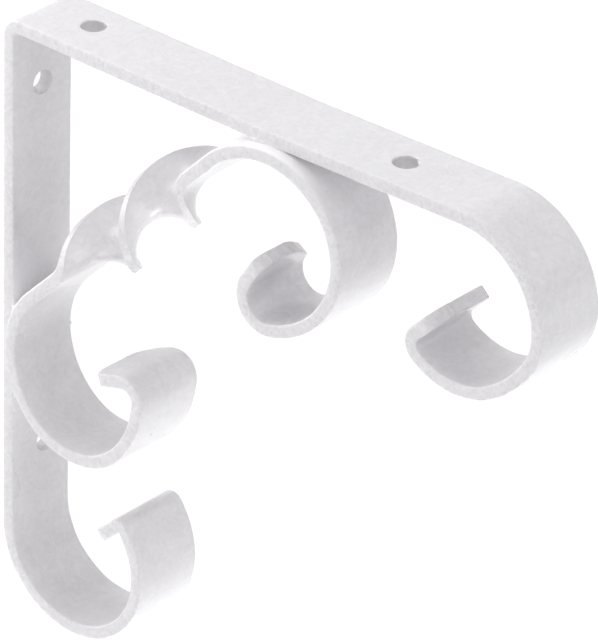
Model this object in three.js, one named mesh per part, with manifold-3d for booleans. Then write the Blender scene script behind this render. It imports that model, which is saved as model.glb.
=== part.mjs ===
// Scroll bracket: a flat bar bent to an L, with both ends rolled into hooked scrolls and four screw holes,
// and a second flat bar across the corner, twisted once on the diagonal and rolled into a scroll at each end.
// Millimetres, +Z up. X runs out from the wall along the arm and Y runs along the wall. The origin is on the
// wall face of the leg, at mid width, halfway between the leg's two screw holes.

import * as THREE from "three";
import { mergeVertices } from "three/addons/utils/BufferGeometryUtils.js";
import Module from "manifold-3d";

const wasm = await Module();
wasm.setup();

// Bar stock: 3 mm strip under a thick coat of paint
const BAR_WIDTH = 20.6;
const BAR_THICKNESS = 3.2;
const EDGE_RADIUS = 0.7;
const EDGE_SEGMENTS = 1;

// Screw holes: how far along from the outside of the corner, and how far aside of the bar's middle line
const HOLE_DIAMETER = 6.3;
const HOLE_SIDES = 32;
const DRILL_LENGTH = 4 * BAR_THICKNESS;
const LEG_HOLES = [{ along: 20.2, aside: 0 }, { along: 122.2, aside: 1.7 }];
const ARM_HOLES = [{ along: 19.2, aside: 1 }, { along: 118.6, aside: 0 }];

// Frame bar: the corner bend, then each leg outward from it. Every radius is to the middle of the bar.
// A tip is rounded off at its front and back corners, over so much of its width and of its length.
const CORNER_RADIUS = 3.2;
const LEG_LENGTH = 142.2;
const LEG_SCROLL = [
  { radius: 22, turn: 217.7 },
  { radius: 1.9, turn: 95.3 },
  { tip: 8, front: { wide: 2, deep: 2 }, back: { wide: 6, deep: 10 } },
];
const ARM_LENGTH = 143.5;
const ARM_SCROLL = [
  { radius: 23.3, turn: 85 },
  { radius: 16.1, turn: 38 },
  { radius: 34, turn: 22 },
  { radius: 20.3, turn: 71 },
  { radius: 3.8, turn: 97 },
  { tip: 7.6, front: { wide: 7, deep: 3 }, back: { wide: 3, deep: 3 } },
];

// Brace: its straight middle leans a little from the diagonal and is narrower where it is twisted, and
// each scroll rolls round from it to touch a leg
const BRACE_MIDDLE = 41.7;
const BRACE_LEAN = THREE.MathUtils.degToRad(0.8);
const BRACE_FORWARD = 3;
const WELD_GAP = 0.3;
const TWIST_LENGTH = 59;
const TWIST_EASE = 0.08;
const TWIST_BELOW_MIDDLE = 0.7;
const TWIST_TURN = -360;
const TWIST_NARROWING = 0.11;
const BRACE_CROWN = 0.08;
const BRACE_FACE_PARTS = 4;
const LOWER_SCROLL = [
  { radius: 24.1, turn: 82 },
  { radius: 20.1, turn: 100 },
  { radius: 27.1, turn: 38 },
  { radius: 4.7, turn: 110 },
  { tip: 7, front: { wide: 2, deep: 1 }, back: { wide: 8, deep: 12 } },
];
const UPPER_SCROLL = [
  { radius: 23.45, turn: 81 },
  { radius: 21.5, turn: 81 },
  { radius: 26, turn: 52 },
  { radius: 7.1, turn: 134 },
  { tip: 5.5, front: { wide: 7, deep: 4 }, back: { wide: 8, deep: 8 } },
];

// Fineness of the facets, in degrees of bend or twist for each step along a bar
const BEND_STEP = 8;
const HOOK_STEP = 16;
const HOOK_RADIUS = 6;
const TWIST_STEP = 9;
const TIP_STEPS = 6;

const paint = new THREE.MeshStandardMaterial({ color: 0xe4e3e8, roughness: 0.45, metalness: 0 });

/** Adds points across a broad face of the section, raised in a low arch, up to the face's far end. */
function addFace(section, fromX, y, crown, parts) {
  for (let i = 1; i < parts; i += 1) {
    const place = 1 - (2 * i) / parts;
    section.lineTo(fromX * place, y + Math.sign(y) * crown * (1 - place * place));
  }
  section.lineTo(-fromX, y);
}

/**
 * The rounded rectangle of the bar: its width along the shape's x, its thickness along y. A crowned bar has
 * its broad faces in several parts, so that they stay smooth where the bar is twisted.
 */
function barSection(crown, parts) {
  const halfWidth = BAR_WIDTH / 2;
  const halfThickness = BAR_THICKNESS / 2;
  const cornerX = halfWidth - EDGE_RADIUS;
  const cornerY = halfThickness - EDGE_RADIUS;
  const section = new THREE.Shape();
  section.moveTo(halfWidth, -cornerY);
  section.lineTo(halfWidth, cornerY);
  section.absarc(cornerX, cornerY, EDGE_RADIUS, 0, Math.PI / 2, false);
  addFace(section, cornerX, halfThickness, crown, parts);
  section.absarc(-cornerX, cornerY, EDGE_RADIUS, Math.PI / 2, Math.PI, false);
  section.lineTo(-halfWidth, -cornerY);
  section.absarc(-cornerX, -cornerY, EDGE_RADIUS, Math.PI, 1.5 * Math.PI, false);
  addFace(section, -cornerX, -halfThickness, crown, parts);
  section.absarc(cornerX, -cornerY, EDGE_RADIUS, 1.5 * Math.PI, 2 * Math.PI, false);
  return section;
}

/** How much of the bar's width is gone at a distance from its end, where a corner there is rounded off. */
function cornerCut({ wide, deep }, toEnd) {
  const past = Math.max(0, 1 - toEnd / deep);
  return wide * (1 - Math.sqrt(1 - past ** 2));
}

/**
 * Walks along a bar from a start in the XZ plane, and lists stations: place, heading, roll about the bar,
 * and how much narrower the bar is there at its front and at its back. A run is a list of straights, of
 * bends to the left, as { radius, turn in degrees }, and of a tip at the end.
 */
function walk(x, z, heading, run) {
  const stations = [{ x, z, heading, along: 0 }];
  let along = 0;
  const goStraight = (length) => {
    x += length * Math.cos(heading);
    z += length * Math.sin(heading);
    along += length;
    stations.push({ x, z, heading, along });
  };
  for (const { straight, radius, turn, tip } of run) {
    if (straight) {
      goStraight(straight);
    } else if (tip) {
      for (let i = 0; i < TIP_STEPS; i += 1) {
        const quarter = Math.PI / 2 / TIP_STEPS;
        goStraight(tip * (Math.sin(quarter * (i + 1)) - Math.sin(quarter * i)));
      }
    } else {
      const centreX = x - radius * Math.sin(heading);
      const centreZ = z + radius * Math.cos(heading);
      const steps = Math.ceil(turn / (radius < HOOK_RADIUS ? HOOK_STEP : BEND_STEP));
      const step = THREE.MathUtils.degToRad(turn) / steps;
      for (let i = 0; i < steps; i += 1) {
        heading += step;
        x = centreX + radius * Math.sin(heading);
        z = centreZ - radius * Math.cos(heading);
        along += radius * step;
        stations.push({ x, z, heading, along });
      }
    }
  }
  const square = { wide: 0, deep: 1 };
  const { front = square, back = square } = run.at(-1);
  return stations.map((station) => {
    const toEnd = along - station.along;
    return { ...station, roll: 0, frontCut: cornerCut(front, toEnd), backCut: cornerCut(back, toEnd) };
  });
}

/** The same walk from its far end back to its start. */
function reversed(stations) {
  const back = stations.map((station) => ({ ...station, heading: station.heading + Math.PI }));
  return back.reverse();
}

/** The mirror image of a walk in the diagonal of the corner, which swaps the leg's side for the arm's. */
function mirrored(stations) {
  return stations.map((station) => ({
    ...station,
    x: -station.z,
    z: -station.x,
    heading: -Math.PI / 2 - station.heading,
  }));
}

/** A straight bar of a section, bent and twisted so that it passes through the stations. */
function bendBar(section, stations, forward) {
  const lastStation = stations.length - 1;
  const faceEnd = BAR_WIDTH / 2 - EDGE_RADIUS;
  const bar = new THREE.ExtrudeGeometry(section, {
    depth: lastStation,
    steps: lastStation,
    curveSegments: EDGE_SEGMENTS,
    bevelEnabled: false,
  });
  const position = bar.getAttribute("position");
  for (let i = 0; i < position.count; i += 1) {
    const fullAcross = position.getX(i);
    const through = position.getY(i);
    const { x, z, heading, roll, frontCut, backCut } = stations[Math.round(position.getZ(i))];
    const inward = THREE.MathUtils.clamp(fullAcross / faceEnd, -1, 1);
    const across = fullAcross - inward * (fullAcross < 0 ? frontCut : backCut);
    const outward = through * Math.cos(roll) + across * Math.sin(roll);
    const sideways = across * Math.cos(roll) - through * Math.sin(roll);
    position.setXYZ(
      i,
      x - outward * Math.sin(heading),
      sideways - forward,
      z + outward * Math.cos(heading),
    );
  }
  return bar;
}

/** A closed geometry as a solid that can be cut. */
function toSolid(geometry) {
  const closed = geometry.clone();
  closed.deleteAttribute("normal");
  closed.deleteAttribute("uv");
  const merged = mergeVertices(closed);
  return new wasm.Manifold(new wasm.Mesh({
    numProp: 3,
    vertProperties: new Float32Array(merged.getAttribute("position").array),
    triVerts: new Uint32Array(merged.getIndex().array),
  }));
}

/** A solid as a geometry again. */
function toGeometry(solid) {
  const { vertProperties, triVerts } = solid.getMesh();
  const geometry = new THREE.BufferGeometry();
  geometry.setAttribute("position", new THREE.BufferAttribute(new Float32Array(vertProperties), 3));
  geometry.setIndex(new THREE.BufferAttribute(new Uint32Array(triVerts), 1));
  geometry.computeVertexNormals();
  return geometry;
}

/** A drill through a leg or the arm, long enough to pass right through the bar. */
function drill() {
  return new THREE.CylinderGeometry(HOLE_DIAMETER / 2, HOLE_DIAMETER / 2, DRILL_LENGTH, HOLE_SIDES);
}

/** The L-shaped frame bar, walked from the leg's tip up to the corner and out to the arm's tip. */
function frameBar() {
  const middle = BAR_THICKNESS / 2;
  const bendStart = middle + CORNER_RADIUS;
  const outward = (length, scroll) => [{ straight: length - bendStart }, ...scroll];
  const leg = walk(middle, -bendStart, -Math.PI / 2, outward(LEG_LENGTH, LEG_SCROLL));
  const arm = mirrored(walk(middle, -bendStart, -Math.PI / 2, outward(ARM_LENGTH, ARM_SCROLL)));
  const corner = walk(bendStart, -middle, Math.PI, [{ radius: CORNER_RADIUS, turn: 90 }]);
  const stations = [...reversed(leg), ...reversed(corner).slice(1, -1), ...arm];

  let solid = toSolid(bendBar(barSection(0, 1), stations, 0));
  for (const { along, aside } of LEG_HOLES) {
    solid = solid.subtract(toSolid(drill().rotateZ(Math.PI / 2).translate(middle, aside, -along)));
  }
  for (const { along, aside } of ARM_HOLES) {
    solid = solid.subtract(toSolid(drill().rotateX(Math.PI / 2).translate(along, aside, -middle)));
  }
  return toGeometry(solid);
}

/** How far the brace's straight middle runs before its first bend, so that the bend just clears the leg. */
function braceRun(firstRadius, slope) {
  const middlesApart = BAR_THICKNESS + WELD_GAP;
  const bendReach = firstRadius * (1 - Math.sin(slope));
  return (BRACE_MIDDLE - BAR_THICKNESS / 2 - middlesApart - bendReach) / Math.cos(slope);
}

/** The share of the twist that is made at a share of its length: even, but eased in and out at the ends. */
function twistShare(share) {
  const fromEnd = Math.min(share, 1 - share);
  const even = (fromEnd - TWIST_EASE / 2) / (1 - TWIST_EASE);
  const eased = fromEnd ** 2 / (2 * TWIST_EASE * (1 - TWIST_EASE));
  const made = fromEnd < TWIST_EASE ? eased : even;
  return share < 0.5 ? made : 1 - made;
}

/** The twisted stretch of the brace, from its lower end to its upper end. */
function twist() {
  const steps = Math.ceil(Math.abs(TWIST_TURN) / TWIST_STEP);
  const heading = Math.PI / 4 + BRACE_LEAN;
  const stations = [];
  for (let i = 0; i <= steps; i += 1) {
    const along = (i / steps - 0.5) * TWIST_LENGTH - TWIST_BELOW_MIDDLE;
    const widening = THREE.MathUtils.smoothstep(Math.abs(i / steps - 0.5), 0.25, 0.5);
    const cut = (1 - widening) * TWIST_NARROWING * (BAR_WIDTH / 2);
    stations.push({
      x: BRACE_MIDDLE + along * Math.cos(heading),
      z: -BRACE_MIDDLE + along * Math.sin(heading),
      heading,
      roll: THREE.MathUtils.degToRad(TWIST_TURN) * twistShare(i / steps),
      frontCut: cut,
      backCut: cut,
    });
  }
  return stations;
}

/** The brace, walked from its lower tip through the twist to its upper tip. */
function twistedBrace() {
  const scrollEnd = (scroll, slope) => {
    const run = [{ straight: braceRun(scroll[0].radius, slope) }, ...scroll];
    return walk(BRACE_MIDDLE, -BRACE_MIDDLE, Math.PI + slope, run).slice(1);
  };
  const lower = reversed(scrollEnd(LOWER_SCROLL, Math.PI / 4 + BRACE_LEAN));
  const upper = mirrored(scrollEnd(UPPER_SCROLL, Math.PI / 4 - BRACE_LEAN));
  const stations = [...lower, ...twist(), ...upper];
  return bendBar(barSection(BRACE_CROWN, BRACE_FACE_PARTS), stations, BRACE_FORWARD);
}

const frame = new THREE.Mesh(frameBar(), paint);
frame.name = "frame_bar";

const brace = new THREE.Mesh(twistedBrace(), paint.clone());
brace.name = "twisted_brace";

// The bars are laid out from the outside of the corner, and the bracket is lifted so that the origin lies
// between the leg's holes
const bracket = new THREE.Group();
bracket.add(frame, brace);
bracket.position.z = (LEG_HOLES[0].along + LEG_HOLES[1].along) / 2;

const part = new THREE.Group();
part.add(bracket);

export default part;
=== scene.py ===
import math

import bmesh
import bpy
from mathutils import Matrix, Vector, noise


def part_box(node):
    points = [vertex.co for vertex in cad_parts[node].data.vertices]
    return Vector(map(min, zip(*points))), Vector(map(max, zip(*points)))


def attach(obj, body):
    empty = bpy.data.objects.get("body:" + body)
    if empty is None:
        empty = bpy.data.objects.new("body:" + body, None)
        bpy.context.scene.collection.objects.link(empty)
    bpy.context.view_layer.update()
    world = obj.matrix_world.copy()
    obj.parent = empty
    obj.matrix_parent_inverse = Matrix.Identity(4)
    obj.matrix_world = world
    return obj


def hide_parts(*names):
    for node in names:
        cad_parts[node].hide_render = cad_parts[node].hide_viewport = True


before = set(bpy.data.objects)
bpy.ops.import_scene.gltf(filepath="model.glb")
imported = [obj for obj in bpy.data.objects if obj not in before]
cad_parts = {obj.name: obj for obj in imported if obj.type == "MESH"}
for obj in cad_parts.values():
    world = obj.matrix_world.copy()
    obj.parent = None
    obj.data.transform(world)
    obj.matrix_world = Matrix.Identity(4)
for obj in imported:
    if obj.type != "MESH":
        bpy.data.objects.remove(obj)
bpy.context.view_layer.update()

# Bar stock, in metres. The frame gives its width and where the corner and the brace lie.
frame_low, frame_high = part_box("frame_bar")
brace_low, brace_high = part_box("twisted_brace")
BAR_WIDTH = frame_high.y - frame_low.y
BAR_THICKNESS = 0.0032
PAINT_THICKNESS = 0.00015
EDGE_RADIUS = 0.0005
TIP_RADIUS = 0.00045
CORNER = Vector((frame_low.x, (frame_low.y + frame_high.y) / 2, frame_high.z))
BRACE_SIDEWAYS = (brace_low.y + brace_high.y) / 2 - CORNER.y

# Screw holes: where they open on the outside of the leg and of the arm, from the outside of the corner. The
# rims are eased, the far rims are narrowed by paint, and the bores are darkened with painted shade.
HOLE_RADIUS = 0.00315
FAR_HOLE_RADIUS = 0.0027
HOLE_EASE = 0.00022
HOLE_EASE_ANGLES = (0, 20, 40, 60)
BORE_REACH = 0.0033
BORE_SHADOW_AMOUNT = 0.22
LEG_HOLES = [(0, 0, -0.0202), (0, 0.0017, -0.1222)]
ARM_HOLES = [(0.0192, 0.0010, -0.0001), (0.1186, 0, -0.0004)]

# Frame bar: each half is a run of straights, as (length,), and of bends to the left, as (radius to the middle
# of the bar, turn in degrees). A tip is at its end, as (length, rounding of its front corner, and of its back
# corner), each rounding as (how wide, how deep, power), where a power of 1 is a straight cut and of 2 a round
# one. The arm is pulled in a little where the brace is welded to it.
CORNER_RADIUS = 0.0032
LEG_RUN = [(0.1374,), (0.0220, 217.7), (0.0019, 95.3)]
LEG_TIP = (0.0080, (0.002, 0.002, 2), (0.006, 0.010, 2))
ARM_DIP = 0.0008
ARM_RUN = [
    (0.3, 0.6), (0.0720,), (-0.3, -1.35), (0.0565,),
    (0.0233, 85.75), (0.0161, 38), (0.0340, 22), (0.0203, 71), (0.0038, 97),
]
ARM_TIP = (0.0077, (0.007, 0.003, 2), (0.0012, 0.0015, 2))

# Brace: a straight, twisted middle on the diagonal, and a scroll from each end of it
BRACE_MIDDLE = 0.0417
BRACE_LEAN = 0.8
WELD_GAP = 0.0001
TWIST_LENGTH = 0.0590
TWIST_EASE = 0.08
TWIST_BELOW_MIDDLE = 0.0007
TWIST_NARROWING = 0.11
LOWER_SCROLL = [(0.0241, 82), (0.0201, 100), (0.0271, 38), (0.0047, 110)]
LOWER_TIP = (0.0078, (0.002, 0.001, 2), (0.008, 0.012, 2))
UPPER_SCROLL = [(0.0237, 81), (0.0215, 81), (0.0260, 52), (0.0071, 134)]
UPPER_TIP = (0.0073, (0.004, 0.002, 2), (0.009, 0.006, 1.2))

# Welds: where the brace touches the arm and the leg, from the outside of the corner, and how far from there to
# the corner's side and away from it paint and weld fill the crevice. Beads lie along the front and the back.
UPPER_JOINT = 0.0839
LOWER_JOINT = 0.0857
UPPER_CREVICES = (0.0040, 0.0055)
LOWER_CREVICES = (0.0065, 0.0060)
CREVICE_OVERLAP = 0.0003
CREVICE_WIDTH = 0.95 * BAR_WIDTH
WELD_FRONT = -0.0092
WELD_BACK = 0.0060
WELD_RADIUS = 0.0013
WELD_UNEVENNESS = 0.15
WELD_RIPPLE = 0.0004
WELD_VOXEL = 0.00018
WELD_SMOOTHING = 8

# Fineness of the meshes
STEP_LENGTH = 0.0010
TIP_STEP_LENGTH = 0.0003
STEP_TURN = 4
TWIST_STEPS = 60
EDGE_SEGMENTS = 4
FACE_CUTS = 15
EDGE_CUTS = 1
TIP_STEPS = 4
HOLE_STEPS = 40

# Unevenness of the brushed paint, on the meshes themselves
LUMP_SIZE = 0.005
LUMP_HEIGHT = 0.00007

# How far along the bars from a weld the crevice beside it is whitened, as painted light that lifts its shade
PAINTED_LIGHT_REACH = 0.030


class Bar:
    """A flat bar that grows from its first section, in the plane of the scrolls, as it is bent and twisted."""

    def __init__(self, place, heading):
        self.mesh = bmesh.new()
        self.place = Vector(place)
        self.heading = math.radians(heading)
        self.rim = self.first_section()
        self.corners = []
        self.to_end = 0

    @property
    def ahead(self):
        return Vector((math.cos(self.heading), 0, math.sin(self.heading)))

    @property
    def left(self):
        return Vector((-math.sin(self.heading), 0, math.cos(self.heading)))

    def first_section(self):
        """The rounded rectangle of the bar, as a ring of edges, with the bar's narrow edges marked."""
        bm = self.mesh
        half_width = Vector((0, BAR_WIDTH / 2, 0))
        half_thickness = self.left * (BAR_THICKNESS / 2 + PAINT_THICKNESS)
        signs = [(1, 1), (-1, 1), (-1, -1), (1, -1)]
        corners = [bm.verts.new(self.place + a * half_width + t * half_thickness) for a, t in signs]
        bm.faces.new(corners)
        bmesh.ops.bevel(
            bm, geom=corners, offset=EDGE_RADIUS, affect="VERTICES",
            segments=EDGE_SEGMENTS, profile=0.5, material=-1,
        )
        bmesh.ops.delete(bm, geom=list(bm.faces), context="FACES_ONLY")
        broad = [edge for edge in bm.edges if edge.calc_length() > BAR_WIDTH / 2]
        narrow = [edge for edge in bm.edges if EDGE_RADIUS < edge.calc_length() < BAR_WIDTH / 2]
        bmesh.ops.subdivide_edges(bm, edges=broad, cuts=FACE_CUTS)
        bmesh.ops.subdivide_edges(bm, edges=narrow, cuts=EDGE_CUTS)
        edge_mark = bm.verts.layers.float.new("bar_edge")
        for vert in bm.verts:
            past_face = abs(vert.co.y - self.place.y) - (BAR_WIDTH / 2 - EDGE_RADIUS)
            vert[edge_mark] = min(1, max(0, past_face / EDGE_RADIUS))
        return [*bm.verts, *bm.edges]

    def sweep(self, centre, axis, turn, advance, steps, length):
        """Carries the last section on, step by step, and narrows it where it comes to the tip's corners."""
        for _ in range(steps):
            cuts = self.corner_cuts()
            self.rim = bmesh.ops.spin(
                self.mesh, geom=self.rim, cent=centre, axis=axis,
                dvec=advance / steps, angle=turn / steps, steps=1,
            )["geom_last"]
            self.to_end -= length / steps
            more = [after - before for before, after in zip(cuts, self.corner_cuts())]
            if any(more):
                self.narrow(cuts, more)

    def narrow(self, cuts, more):
        """Moves the rounded edges of the last section inward by more, and draws its faces in between them."""
        for vert in self.rim_verts():
            sideways = vert.co.y - self.place.y
            back = sideways > 0
            to_edge = BAR_WIDTH / 2 - EDGE_RADIUS - cuts[back]
            vert.co.y -= math.copysign(more[back], sideways) * min(1, abs(sideways) / to_edge)

    def rim_verts(self):
        return [part for part in self.rim if isinstance(part, bmesh.types.BMVert)]

    def corner_cuts(self):
        """How much narrower the bar is here at the front and at the back, where the tip's corners are cut."""
        cuts = []
        for wide, deep, power in self.corners:
            past = min(1, max(0, 1 - self.to_end / deep))
            cuts.append(wide * (1 - (1 - past ** power) ** (1 / power)))
        return cuts

    def straight(self, length, step=STEP_LENGTH):
        self.sweep(self.place, self.ahead, 0, self.ahead * length, math.ceil(length / step), length)
        self.place += self.ahead * length

    def bend(self, radius, turn):
        """Bends the bar to the left, round a radius to its middle, or to the right where both are negative."""
        centre = self.place + self.left * radius
        angle = math.radians(turn)
        steps = max(math.ceil(abs(turn) / STEP_TURN), math.ceil(radius * angle / STEP_LENGTH))
        self.sweep(centre, Vector((0, -1, 0)), angle, Vector(), steps, radius * angle)
        self.heading += angle
        self.place = centre - self.left * radius

    def follow(self, run, tip):
        """Follows a run of straights, as (length,), and of bends, as (radius, turn), and ends in a tip."""
        tip_length, *self.corners = tip
        lengths = [step[0] if len(step) == 1 else step[0] * math.radians(step[1]) for step in run]
        self.to_end = sum(lengths) + tip_length - TIP_RADIUS
        for step in run:
            if len(step) == 1:
                self.straight(*step)
            else:
                self.bend(*step)
        self.straight(tip_length - TIP_RADIUS, TIP_STEP_LENGTH)
        self.round_end()

    def twist(self, length, turn, ease):
        """Twists the bar evenly from here, and eases out of the twist over the last share of its length.

        The twisted bar is a little narrower, and widens again over the last half of the length.
        """
        made = 0
        width = 1
        for step in range(TWIST_STEPS + 1):
            share = step / TWIST_STEPS
            past_even = max(0, share - (1 - ease))
            target = (share - past_even ** 2 / (2 * ease)) / (1 - ease / 2)
            if step:
                advance = self.ahead * length / TWIST_STEPS
                self.sweep(self.place, self.ahead, math.radians(turn) * (target - made), advance, 1, 0)
                self.place += advance
            made = target
            widening = max(0, 2 * share - 1)
            narrowing = TWIST_NARROWING * (1 - widening ** 2 * (3 - 2 * widening))
            across = Matrix.Rotation(math.radians(turn) * made, 3, self.ahead) @ Vector((0, 1, 0))
            for vert in self.rim_verts():
                vert.co += across * (vert.co - self.place).dot(across) * ((1 - narrowing) / width - 1)
            width = 1 - narrowing

    def round_end(self):
        """Closes the end of the bar, rounded over."""
        ring = [part for part in self.rim if isinstance(part, bmesh.types.BMEdge)]
        end = bmesh.ops.edgeloop_fill(self.mesh, edges=ring)["faces"]
        for face in end:
            face.normal_update()
            if face.normal.dot(self.ahead) < 0:
                face.normal_flip()
        angles = [math.pi / 2 * step / TIP_STEPS for step in range(TIP_STEPS + 1)]
        for before, after in zip(angles, angles[1:]):
            bmesh.ops.inset_region(
                self.mesh, faces=end, use_boundary=True, use_even_offset=True,
                thickness=TIP_RADIUS * (math.cos(before) - math.cos(after)),
                depth=TIP_RADIUS * (math.sin(after) - math.sin(before)),
            )


def joined_bar(leg_side, arm_side):
    """One bar of two halves: the second was made on the leg's side too, and is mirrored in the diagonal."""
    across_diagonal = Matrix(((0, 0, -1, 0), (0, 1, 0, 0), (-1, 0, 0, 0), (0, 0, 0, 1)))
    bmesh.ops.transform(arm_side, matrix=across_diagonal, verts=arm_side.verts)
    other_half = bpy.data.meshes.new("other_half")
    arm_side.to_mesh(other_half)
    arm_side.free()
    leg_side.from_mesh(other_half)
    bpy.data.meshes.remove(other_half)
    bmesh.ops.remove_doubles(leg_side, verts=leg_side.verts, dist=EDGE_RADIUS / 100)
    bmesh.ops.recalc_face_normals(leg_side, faces=leg_side.faces)
    return leg_side


def brush_out(bm, inward):
    """Raises the faint lumps of thick brushed paint, and marks the crevices at the welds for painted light.

    The crevices' faces look inward to the corner's side on the frame bar, and outward on the brace.
    """
    bm.normal_update()
    crevice_light = bm.verts.layers.float.new("crevice_painted_light")
    on_leg = (CORNER + Vector((BAR_THICKNESS, 0, -LOWER_JOINT)), Vector((1, 0, 0)))
    on_arm = (CORNER + Vector((UPPER_JOINT, 0, -BAR_THICKNESS)), Vector((0, 0, -1)))
    for vert in bm.verts:
        for joint, into_corner in (on_leg, on_arm):
            away = (vert.co - joint).xz.length
            facing = max(0, inward * vert.normal.dot(into_corner))
            vert[crevice_light] = max(vert[crevice_light], facing * (1 - away / PAINTED_LIGHT_REACH))
        vert.co += vert.normal * noise.noise(vert.co / LUMP_SIZE) * LUMP_HEIGHT


def piece_of(bm, name, finish):
    """A finished piece from a bmesh, which rides on the bracket's one body."""
    mesh = bpy.data.meshes.new(name)
    bm.to_mesh(mesh)
    bm.free()
    mesh.materials.append(finish)
    mesh.shade_smooth()
    piece = bpy.data.objects.new(name, mesh)
    bpy.context.scene.collection.objects.link(piece)
    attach(piece, "root")
    return piece


def applied(piece, kind, **settings):
    """Applies one modifier to a piece's mesh."""
    modifier = piece.modifiers.new(kind, kind)
    for name, value in settings.items():
        setattr(modifier, name, value)
    bpy.context.view_layer.update()
    finished = bpy.data.meshes.new_from_object(piece.evaluated_get(bpy.context.evaluated_depsgraph_get()))
    finished.name = piece.name
    piece.modifiers.clear()
    piece.data = finished


def hole_middles():
    """The middles of the screw holes, halfway through the bar: the leg's two, then the arm's two."""
    depth = BAR_THICKNESS / 2
    on_leg = [CORNER + Vector(outside) + Vector((depth, 0, 0)) for outside in LEG_HOLES]
    on_arm = [CORNER + Vector(outside) - Vector((0, 0, depth)) for outside in ARM_HOLES]
    return on_leg + on_arm


def drills():
    """A drill for each screw hole, flared where it enters and leaves so that the hole's rims are eased."""
    bm = bmesh.new()
    depth = BAR_THICKNESS / 2 + PAINT_THICKNESS
    flare = [math.radians(angle) for angle in HOLE_EASE_ANGLES]
    rounding = [(HOLE_EASE * (1 - math.cos(a)), depth - HOLE_EASE * (1 - math.sin(a))) for a in flare]
    out, high = rounding[-1]
    rounding.append((out + HOLE_EASE, high + HOLE_EASE / math.tan(flare[-1])))
    profile = [(FAR_HOLE_RADIUS + out, -high) for out, high in reversed(rounding)]
    profile += [(HOLE_RADIUS + out, high) for out, high in rounding]
    for number, middle in enumerate(hole_middles()):
        place = Matrix.Translation(middle)
        if number < len(LEG_HOLES):
            place = place @ Matrix.Rotation(math.pi / 2, 4, "Y")
        points = [bm.verts.new((radius, 0, height)) for radius, height in profile]
        edges = [bm.edges.new(pair) for pair in zip(points, points[1:])]
        before = set(bm.verts) - set(points)
        bmesh.ops.spin(
            bm, geom=points + edges, cent=(0, 0, 0), axis=(0, 0, 1),
            angle=2 * math.pi, steps=HOLE_STEPS, use_merge=True,
        )
        made = [vert for vert in bm.verts if vert not in before]
        bmesh.ops.transform(bm, matrix=place, verts=made)
    bmesh.ops.holes_fill(bm, edges=bm.edges)
    bmesh.ops.recalc_face_normals(bm, faces=bm.faces)
    mesh = bpy.data.meshes.new("drills")
    bm.to_mesh(mesh)
    bm.free()
    drill = bpy.data.objects.new("drills", mesh)
    bpy.context.scene.collection.objects.link(drill)
    return drill


def frame_half(run, tip):
    """Half of the frame bar on the leg's side, from the middle of the corner bend out to its tip."""
    bend_start = BAR_THICKNESS / 2 + CORNER_RADIUS
    on_diagonal = bend_start - CORNER_RADIUS * math.sqrt(0.5)
    bar = Bar((on_diagonal, 0, -on_diagonal), 225)
    bar.bend(CORNER_RADIUS, 45)
    bar.follow(run, tip)
    return bar.mesh


def make_frame_bar(finish):
    bm = joined_bar(frame_half(LEG_RUN, LEG_TIP), frame_half(ARM_RUN, ARM_TIP))
    bmesh.ops.translate(bm, vec=CORNER, verts=bm.verts)
    brush_out(bm, 1)
    piece = piece_of(bm, "painted_frame_bar", finish)
    drill = drills()
    applied(piece, "BOOLEAN", operation="DIFFERENCE", solver="EXACT", object=drill)
    bpy.data.objects.remove(drill)
    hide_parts("frame_bar")


def brace_half(scroll, tip, start_past_middle, lean, hand, bar_depth):
    """Half of the brace on the leg's side, from the middle of its twist out to its tip."""
    slope = math.radians(45 + lean)
    first_radius = scroll[0][0]
    contact = bar_depth + WELD_GAP + BAR_THICKNESS / 2
    run = (BRACE_MIDDLE - first_radius * (1 - math.sin(slope)) - contact) / math.cos(slope)
    start_x = BRACE_MIDDLE - start_past_middle * math.cos(slope)
    start_z = -BRACE_MIDDLE - start_past_middle * math.sin(slope)
    bar = Bar((start_x, BRACE_SIDEWAYS, start_z), 225 + lean)
    bar.twist(TWIST_LENGTH / 2, hand * 180, 2 * TWIST_EASE)
    bar.straight(run - start_past_middle - TWIST_LENGTH / 2)
    bar.follow(scroll, tip)
    return bar.mesh


def make_brace(finish):
    lower = brace_half(LOWER_SCROLL, LOWER_TIP, TWIST_BELOW_MIDDLE, BRACE_LEAN, -1, BAR_THICKNESS)
    upper = brace_half(UPPER_SCROLL, UPPER_TIP, -TWIST_BELOW_MIDDLE, -BRACE_LEAN, 1, BAR_THICKNESS + ARM_DIP)
    bm = joined_bar(lower, upper)
    bmesh.ops.translate(bm, vec=CORNER, verts=bm.verts)
    brush_out(bm, -1)
    piece = piece_of(bm, "painted_twisted_brace", finish)
    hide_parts("twisted_brace")


def make_bead(name, start, end, radius, finish):
    """A bead of weld or of paint: ripples laid over one another from start to end, run together."""
    bm = bmesh.new()
    path = Vector(end) - Vector(start)
    ripples = math.ceil(path.length / WELD_RIPPLE)
    for ripple in range(ripples + 1):
        place = CORNER + Vector(start) + path * ripple / ripples
        size = radius * (1 + WELD_UNEVENNESS * noise.noise(place / radius))
        bmesh.ops.create_icosphere(bm, subdivisions=3, radius=size, matrix=Matrix.Translation(place))
    piece = piece_of(bm, name, finish)
    applied(piece, "REMESH", mode="VOXEL", voxel_size=WELD_VOXEL)
    applied(piece, "SMOOTH", factor=0.5, iterations=WELD_SMOOTHING)
    piece.data.shade_smooth()


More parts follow.
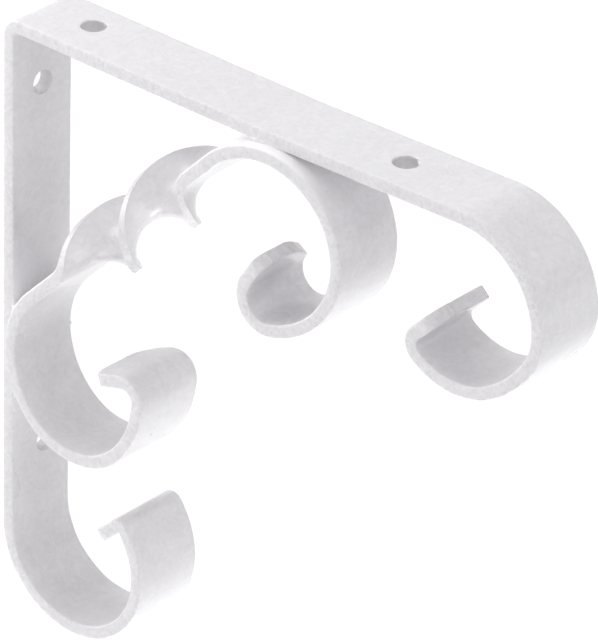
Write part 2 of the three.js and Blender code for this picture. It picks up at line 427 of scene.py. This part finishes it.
def make_welds(finish):
    """Beads on the front and on the back of each joint, and a fill across its narrow crevices."""
    def on_arm(name, start, end, radius):
        make_bead(f"arm_{name}", start, end, radius, finish)

    def on_leg(name, start, end, radius):
        turned = [(-z, y, -x) for x, y, z in (start, end)]
        make_bead(f"leg_{name}", *turned, radius, finish)

    edge = CREVICE_WIDTH / 2
    upper = (on_arm, UPPER_JOINT, UPPER_CREVICES, UPPER_SCROLL[0][0], BAR_THICKNESS + ARM_DIP)
    lower = (on_leg, LOWER_JOINT, LOWER_CREVICES, LOWER_SCROLL[0][0], BAR_THICKNESS)
    for lay, joint, (inner, outer), brace_radius, face in (upper, lower):
        for side, reach in (("inner", -inner), ("outer", outer)):
            half_gap = reach ** 2 / (4 * brace_radius)
            along, low = joint + reach, -face - half_gap
            lay(f"crevice_{side}", (along, -edge, low), (along, edge, low), half_gap + CREVICE_OVERLAP)
            for place, sideways in (("front", WELD_FRONT), ("back", WELD_BACK)):
                lay(f"weld_{place}_{side}", (joint, sideways, -face), (along, sideways, low), WELD_RADIUS)


class Shade:
    """One output of a shader node. Arithmetic on it adds Math nodes to the tree, and node() adds any other."""

    def __init__(self, tree, output=None):
        self.tree = tree
        self.output = output

    def node(self, kind, settings, inputs, output=0):
        made = self.tree.nodes.new(kind)
        for name, value in settings.items():
            setattr(made, name, value)
        for name, value in inputs.items():
            if isinstance(value, Shade):
                self.tree.links.new(value.output, made.inputs[name])
            else:
                made.inputs[name].default_value = value
        return Shade(self.tree, made.outputs[output])

    def math(self, operation, first, second):
        return self.node("ShaderNodeMath", {"operation": operation}, {0: first, 1: second})

    def __add__(self, other):
        return self.math("ADD", self, other)

    def __radd__(self, other):
        return self.math("ADD", other, self)

    def __sub__(self, other):
        return self.math("SUBTRACT", self, other)

    def __rsub__(self, other):
        return self.math("SUBTRACT", other, self)

    def __mul__(self, other):
        return self.math("MULTIPLY", self, other)

    def __rmul__(self, other):
        return self.math("MULTIPLY", other, self)


def nearest_hole(new, place):
    """How far a place is from the middle of the nearest screw hole, which is in the middle of the bar."""
    nearest = BAR_WIDTH
    for middle in hole_middles():
        away = new.node(
            "ShaderNodeVectorMath", {"operation": "DISTANCE"}, {0: place, 1: tuple(middle)}, "Value",
        )
        nearest = new.math("MINIMUM", away, nearest)
    return nearest


# Paint: its colours, its unevenness from broad blotches to fine grit, the depth of its relief, and its gloss
THIN_WHITE = (0.70, 0.685, 0.71, 1)
THICK_WHITE = (0.86, 0.845, 0.87, 1)
# Painted light: the whiter paint that lifts the shade in the crevices at the welds
CREVICE_LIGHT_WHITE = (0.98, 0.97, 0.985, 1)
# Painted shade: the dark grey mixed into the bores of the screw holes
BORE_SHADOW_GREY = (0.20, 0.19, 0.20, 1)
BLOTCHES = {"Scale": 60, "Detail": 1}
SWIRLS = {"Scale": 220, "Detail": 2, "Distortion": 2.0}
LUMPS = {"Scale": 450, "Detail": 2, "Distortion": 1.5}
GRIT = {"Scale": 1100, "Detail": 1}
RELIEF_DEPTH = 0.00018
COAT_WEIGHT = 0.5
COAT_ROUGHNESS = 0.2


def white_paint():
    """Thick white paint, brushed over steel: satin, a little cool, with soft lumps and grittier edges."""
    material = bpy.data.materials.new("white_paint")
    material.use_nodes = True
    tree = material.node_tree
    shader = tree.nodes["Principled BSDF"]
    new = Shade(tree)
    place = new.node("ShaderNodeTexCoord", {}, {}, "Object")
    edge = new.node("ShaderNodeAttribute", {"attribute_name": "bar_edge"}, {}, "Fac")
    blotch, swirls, lumps, grit = [
        new.node("ShaderNodeTexNoise", {}, {"Vector": place, **look}) for look in (BLOTCHES, SWIRLS, LUMPS, GRIT)
    ]
    whiteness = 0.3 * blotch + 0.6 * swirls + 0.8 * lumps + grit * (0.2 + 0.8 * edge) - 0.45 - 0.4 * edge
    paint = new.node(
        "ShaderNodeMix", {"data_type": "RGBA"},
        {"Factor": whiteness, "A": THIN_WHITE, "B": THICK_WHITE}, "Result",
    )
    # Painted light: the paint is whitened on the crevice faces near the welds, where shade would fall
    crevice_light = new.node("ShaderNodeAttribute", {"attribute_name": "crevice_painted_light"}, {}, "Fac")
    lit_crevices = new.node(
        "ShaderNodeMix", {"data_type": "RGBA"},
        {"Factor": crevice_light, "A": paint, "B": CREVICE_LIGHT_WHITE}, "Result",
    )
    # Painted shade in the bores: near a screw hole's middle the paint is mixed partly toward a dark grey
    bore_shadow = new.node("ShaderNodeMapRange", {}, {
        "Value": nearest_hole(new, place),
        "From Min": BORE_REACH, "From Max": BORE_REACH + HOLE_EASE, "To Min": BORE_SHADOW_AMOUNT, "To Max": 0,
    })
    colour = new.node(
        "ShaderNodeMix", {"data_type": "RGBA"}, {"Factor": bore_shadow, "A": lit_crevices, "B": BORE_SHADOW_GREY}, "Result",
    )
    height = 0.7 * lumps + grit * (0.15 + 1.2 * edge)
    relief = new.node("ShaderNodeBump", {}, {"Distance": RELIEF_DEPTH, "Height": height})
    tree.links.new(colour.output, shader.inputs["Base Color"])
    tree.links.new((0.24 + 0.12 * blotch + 0.30 * edge).output, shader.inputs["Roughness"])
    shader.inputs["Coat Weight"].default_value = COAT_WEIGHT
    shader.inputs["Coat Roughness"].default_value = COAT_ROUGHNESS
    tree.links.new(relief.output, shader.inputs["Normal"])
    return material


# Stage: a white floor well below the bracket, and soft lights as (direction, distance, width, power in watts)
FLOOR_HEIGHT = -0.45
FLOOR_SIZE = 12.0
FLOOR_WHITE = 1.05
FLOOR_SHEEN = 1.18
ROOM_SHEEN = 0.82
FLOOR_GLOW = 0.041
LIGHT_AIM = Vector((0.08, 0, 0))
LIGHTS = {
    "top_light": ((0, 0, 1), 1.6, 1.6, 7.4),
    "top_front_light": ((0, -0.7, 0.7), 1.6, 1.6, 5.16),
    "top_left_light": ((-0.7, 0, 0.7), 1.6, 1.6, 8.24),
    "top_right_light": ((0.7, 0, 0.7), 1.6, 1.6, 6.72),
    "front_light": ((0, -1, 0.12), 1.6, 1.6, 2.04),
    "left_light": ((-1, 0, 0.12), 1.6, 1.6, 18.52),
    "front_left_light": ((-0.7, -0.7, 0.12), 1.6, 1.6, 0.6),
    "front_right_light": ((0.7, -0.7, 0.12), 1.6, 1.6, 4.2),
    "back_right_light": ((0.7, 0.7, 0.12), 1.6, 1.6, 1.72),
    "back_left_light": ((-0.7, 0.7, 0.12), 1.6, 1.6, 0.52),
    "top_back_right_light": ((0.5, 0.5, 0.7), 1.6, 1.6, 2.64),
    "top_back_left_light": ((-0.5, 0.5, 0.7), 1.6, 1.6, 1.92),
    "low_front_light": ((0, -0.95, -0.22), 1.6, 1.6, 0.6),
    "low_front_left_light": ((-0.67, -0.67, -0.22), 1.6, 1.6, 10.76),
    "below_light": ((0, 0, -1), 0.42, 0.26, 0.675),
    "low_right_light": ((0.95, 0, -0.22), 1.6, 1.6, 5.64),
    "below_far_right_light": ((0.75, -0.1, -0.66), 0.42, 0.26, 0.242),
    "below_left_light": ((-0.5, -0.1, -0.86), 0.42, 0.26, 0.025),
    "glint_back_light": ((0.1, 0.55, -0.8), 0.5, 0.3, 0.035),
    "near_corner_light": ((-0.75, -0.3, 0.6), 0.24, 0.12, 0.035),
}


def make_floor():
    """A wide floor that looks plain white, and throws a little light back up at the bracket."""
    bm = bmesh.new()
    bmesh.ops.create_grid(bm, x_segments=1, y_segments=1, size=FLOOR_SIZE / 2)
    bmesh.ops.translate(bm, vec=(0, 0, FLOOR_HEIGHT), verts=bm.verts)
    mesh = bpy.data.meshes.new("floor")
    bm.to_mesh(mesh)
    bm.free()
    floor = bpy.data.objects.new("floor", mesh)
    bpy.context.scene.collection.objects.link(floor)
    material = bpy.data.materials.new("floor_white")
    material.cycles.emission_sampling = "NONE"
    material.use_nodes = True
    tree = material.node_tree
    card = tree.nodes["Principled BSDF"]
    card.inputs["Base Color"].default_value = (0.8, 0.8, 0.8, 1)
    card.inputs["Roughness"].default_value = 0.9
    card.inputs["Emission Color"].default_value = (1, 1, 1, 1)
    card.inputs["Emission Strength"].default_value = FLOOR_GLOW
    new = Shade(tree)
    white = new.node("ShaderNodeEmission", {}, {"Strength": FLOOR_WHITE})
    sheen = new.node("ShaderNodeEmission", {}, {"Strength": FLOOR_SHEEN})
    mirrored = new.node("ShaderNodeLightPath", {}, {}, "Is Glossy Ray")
    lighting = new.node("ShaderNodeLightPath", {}, {}, "Is Diffuse Ray")
    seen = new.node("ShaderNodeMixShader", {}, {0: mirrored, 1: white, 2: sheen})
    look = new.node("ShaderNodeMixShader", {}, {0: lighting, 1: seen, 2: Shade(tree, card.outputs["BSDF"])})
    tree.links.new(look.output, tree.nodes["Material Output"].inputs["Surface"])
    mesh.materials.append(material)


def make_light():
    """Large soft lights all round, and a white background that is also mirrored in the paint."""
    world = bpy.data.worlds.new("studio")
    world.use_nodes = True
    tree = world.node_tree
    tree.nodes.remove(tree.nodes["Background"])
    new = Shade(tree)
    sheen = new.node("ShaderNodeBackground", {}, {"Color": (1, 1, 1, 1), "Strength": ROOM_SHEEN})
    backdrop = new.node("ShaderNodeBackground", {}, {"Color": (1, 1, 1, 1), "Strength": FLOOR_WHITE})
    mirrored = new.node("ShaderNodeLightPath", {}, {}, "Is Glossy Ray")
    seen = new.node("ShaderNodeLightPath", {}, {}, "Is Camera Ray")
    lit = new.node("ShaderNodeMixShader", {}, {0: mirrored, 2: sheen})
    mixed = new.node("ShaderNodeMixShader", {}, {0: seen, 1: lit, 2: backdrop})
    tree.links.new(mixed.output, tree.nodes["World Output"].inputs["Surface"])
    bpy.context.scene.world = world
    for name, (direction, distance, width, power) in LIGHTS.items():
        toward = Vector(direction).normalized()
        light = bpy.data.lights.new(name, "AREA")
        light.shape = "DISK"
        light.size = width
        light.energy = power
        lamp = bpy.data.objects.new(name, light)
        facing = toward.to_track_quat("Z", "Y").to_matrix().to_4x4()
        lamp.matrix_world = Matrix.Translation(LIGHT_AIM + toward * distance) @ facing
        lamp.visible_camera = False
        bpy.context.scene.collection.objects.link(lamp)


# The photograph's view: a long lens, from the front on the arm's side, and above
IMAGE_HEIGHT = 640
FOCAL_PIXELS = 5429.7
VIEW_AZIMUTH = 40.28
VIEW_ELEVATION = 29.36
VIEW_ROLL = 1.79
VIEW_DISTANCE = 1.2948
VIEW_AIM = CORNER + Vector((0.08799, -0.0003, -0.05384))
SENSOR = 36.0


def make_camera():
    camera = bpy.data.cameras.new("camera")
    camera.sensor_fit = "VERTICAL"
    camera.sensor_height = SENSOR
    camera.lens = SENSOR * FOCAL_PIXELS / IMAGE_HEIGHT
    turn = Matrix.Rotation(math.radians(VIEW_AZIMUTH), 4, "Z")
    tilt = Matrix.Rotation(math.radians(90 - VIEW_ELEVATION), 4, "X")
    roll = Matrix.Rotation(math.radians(VIEW_ROLL), 4, "Z")
    back_off = Matrix.Translation((0, 0, VIEW_DISTANCE))
    eye = bpy.data.objects.new("camera", camera)
    eye.matrix_world = Matrix.Translation(VIEW_AIM) @ turn @ tilt @ roll @ back_off
    bpy.context.scene.collection.objects.link(eye)
    bpy.context.scene.camera = eye


paint = white_paint()
make_frame_bar(paint)
make_brace(paint)
make_welds(paint)
make_floor()
make_light()
make_camera()
bpy.context.scene.view_settings.view_transform = "Standard"
